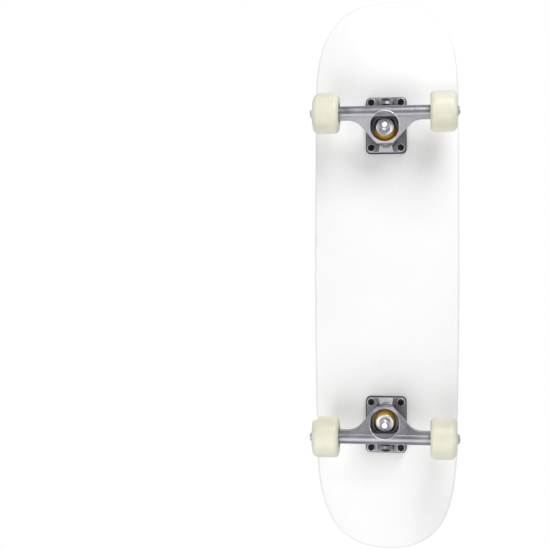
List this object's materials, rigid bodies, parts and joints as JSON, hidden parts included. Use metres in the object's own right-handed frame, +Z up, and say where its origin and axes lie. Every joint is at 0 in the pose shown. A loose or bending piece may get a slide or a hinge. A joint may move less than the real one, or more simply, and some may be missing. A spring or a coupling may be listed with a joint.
{
  "type": "skateboard",
  "caption": "Double-kick street skateboard with concave ply deck, grip tape, sprung steering trucks and ball-bearing urethane wheels",
  "frame": {"origin": "on the ground, under the middle of the deck's length and width", "axes": "+X towards the nose, +Y to the rider's left, +Z up"},
  "size_m": [0.7875, 0.2032, 0.1386],
  "materials": {
    "grip_tape": "coarse mineral grit, matt black",
    "painted_veneer": "white gloss paint on maple",
    "maple": "sanded maple, clear sealed edge",
    "tan_maple": "sanded maple, cross grain",
    "black_steel": "black oxide",
    "riser_plastic": "matt black",
    "cast_aluminium": "tumbled raw casting",
    "cup_plastic": "matt black",
    "zinc_steel": "bright zinc plate",
    "bushing_urethane": "satin amber",
    "bearing_steel": "ground",
    "shield_steel": "pressed and brushed",
    "cage_brass": "pressed",
    "wheel_urethane": "satin cream"
  },
  "bodies": {
    "board": {"grip_tape": "grip_tape", "face_veneer_bottom": "painted_veneer", "face_veneer_top": "maple", "mounting_bolts": "black_steel", "mounting_nuts": "black_steel", "core_veneer_2": "maple", "crossband_veneer_3": "tan_maple", "core_veneer_4": "maple", "crossband_veneer_5": "tan_maple", "core_veneer_6": "maple", "front_riser_pad": "riser_plastic", "front_baseplate": "cast_aluminium", "front_pivot_cup": "cup_plastic", "front_kingpin": "zinc_steel", "front_bottom_washer": "zinc_steel", "front_bottom_bushing": "bushing_urethane", "front_top_bushing": "bushing_urethane", "front_top_washer": "zinc_steel", "front_kingpin_nut": "zinc_steel", "rear_riser_pad": "riser_plastic", "rear_baseplate": "cast_aluminium", "rear_pivot_cup": "cup_plastic", "rear_kingpin": "zinc_steel", "rear_bottom_washer": "zinc_steel", "rear_bottom_bushing": "bushing_urethane", "rear_top_bushing": "bushing_urethane", "rear_top_washer": "zinc_steel", "rear_kingpin_nut": "zinc_steel"},
    "front_steering_axle": {"front_hanger": "cast_aluminium", "front_axle": "zinc_steel", "front_speed_washers": "zinc_steel", "front_axle_nuts": "zinc_steel", "front_bearing_spacers": "bearing_steel", "front_bearing_inner_races": "bearing_steel"},
    "front_left_wheel_set": {"front_left_wheel": "wheel_urethane", "front_left_outer_races": "bearing_steel", "front_left_bearing_shields": "shield_steel"},
    "front_left_ball_set": {"front_left_bearing_balls": "bearing_steel", "front_left_ball_cages": "cage_brass"},
    "front_right_wheel_set": {"front_right_wheel": "wheel_urethane", "front_right_outer_races": "bearing_steel", "front_right_bearing_shields": "shield_steel"},
    "front_right_ball_set": {"front_right_bearing_balls": "bearing_steel", "front_right_ball_cages": "cage_brass"},
    "rear_steering_axle": {"rear_hanger": "cast_aluminium", "rear_axle": "zinc_steel", "rear_speed_washers": "zinc_steel", "rear_axle_nuts": "zinc_steel", "rear_bearing_spacers": "bearing_steel", "rear_bearing_inner_races": "bearing_steel"},
    "rear_left_wheel_set": {"rear_left_wheel": "wheel_urethane", "rear_left_outer_races": "bearing_steel", "rear_left_bearing_shields": "shield_steel"},
    "rear_left_ball_set": {"rear_left_bearing_balls": "bearing_steel", "rear_left_ball_cages": "cage_brass"},
    "rear_right_wheel_set": {"rear_right_wheel": "wheel_urethane", "rear_right_outer_races": "bearing_steel", "rear_right_bearing_shields": "shield_steel"},
    "rear_right_ball_set": {"rear_right_bearing_balls": "bearing_steel", "rear_right_ball_cages": "cage_brass"}
  },
  "joints": [
    {"name": "front_steer", "type": "hinge", "parent": "board", "child": "front_steering_axle", "pos_m": [0.19865, 0, 0.0498], "axis": [0.8919, 0, 0.4522], "range_deg": [-15, 15], "stiffness_Nm_per_rad": 60, "deforming": ["front_bottom_bushing", "front_top_bushing"]},
    {"name": "front_left_spin", "type": "hinge", "parent": "front_steering_axle", "child": "front_left_wheel_set", "pos_m": [0.22105, 0.0797, 0.028], "axis": [0, 1, 0], "continuous": true},
    {"name": "front_left_ball_orbit", "type": "hinge", "parent": "front_steering_axle", "child": "front_left_ball_set", "pos_m": [0.22105, 0.0797, 0.028], "axis": [0, 1, 0], "continuous": true},
    {"name": "front_right_spin", "type": "hinge", "parent": "front_steering_axle", "child": "front_right_wheel_set", "pos_m": [0.22105, -0.0797, 0.028], "axis": [0, 1, 0], "continuous": true},
    {"name": "front_right_ball_orbit", "type": "hinge", "parent": "front_steering_axle", "child": "front_right_ball_set", "pos_m": [0.22105, -0.0797, 0.028], "axis": [0, 1, 0], "continuous": true},
    {"name": "rear_steer", "type": "hinge", "parent": "board", "child": "rear_steering_axle", "pos_m": [-0.19865, 0, 0.0498], "axis": [-0.8919, 0, 0.4522], "range_deg": [-15, 15], "stiffness_Nm_per_rad": 60, "deforming": ["rear_bottom_bushing", "rear_top_bushing"]},
    {"name": "rear_left_spin", "type": "hinge", "parent": "rear_steering_axle", "child": "rear_left_wheel_set", "pos_m": [-0.22105, 0.0797, 0.028], "axis": [0, 1, 0], "continuous": true},
    {"name": "rear_left_ball_orbit", "type": "hinge", "parent": "rear_steering_axle", "child": "rear_left_ball_set", "pos_m": [-0.22105, 0.0797, 0.028], "axis": [0, 1, 0], "continuous": true},
    {"name": "rear_right_spin", "type": "hinge", "parent": "rear_steering_axle", "child": "rear_right_wheel_set", "pos_m": [-0.22105, -0.0797, 0.028], "axis": [0, 1, 0], "continuous": true},
    {"name": "rear_right_ball_orbit", "type": "hinge", "parent": "rear_steering_axle", "child": "rear_right_ball_set", "pos_m": [-0.22105, -0.0797, 0.028], "axis": [0, 1, 0], "continuous": true}
  ],
  "couplings": [
    {"joint": "front_left_ball_orbit", "follows": "front_left_spin", "ratio": 0.63227},
    {"joint": "front_right_ball_orbit", "follows": "front_right_spin", "ratio": 0.63227},
    {"joint": "rear_left_ball_orbit", "follows": "rear_left_spin", "ratio": 0.63227},
    {"joint": "rear_right_ball_orbit", "follows": "rear_right_spin", "ratio": 0.63227}
  ]
}
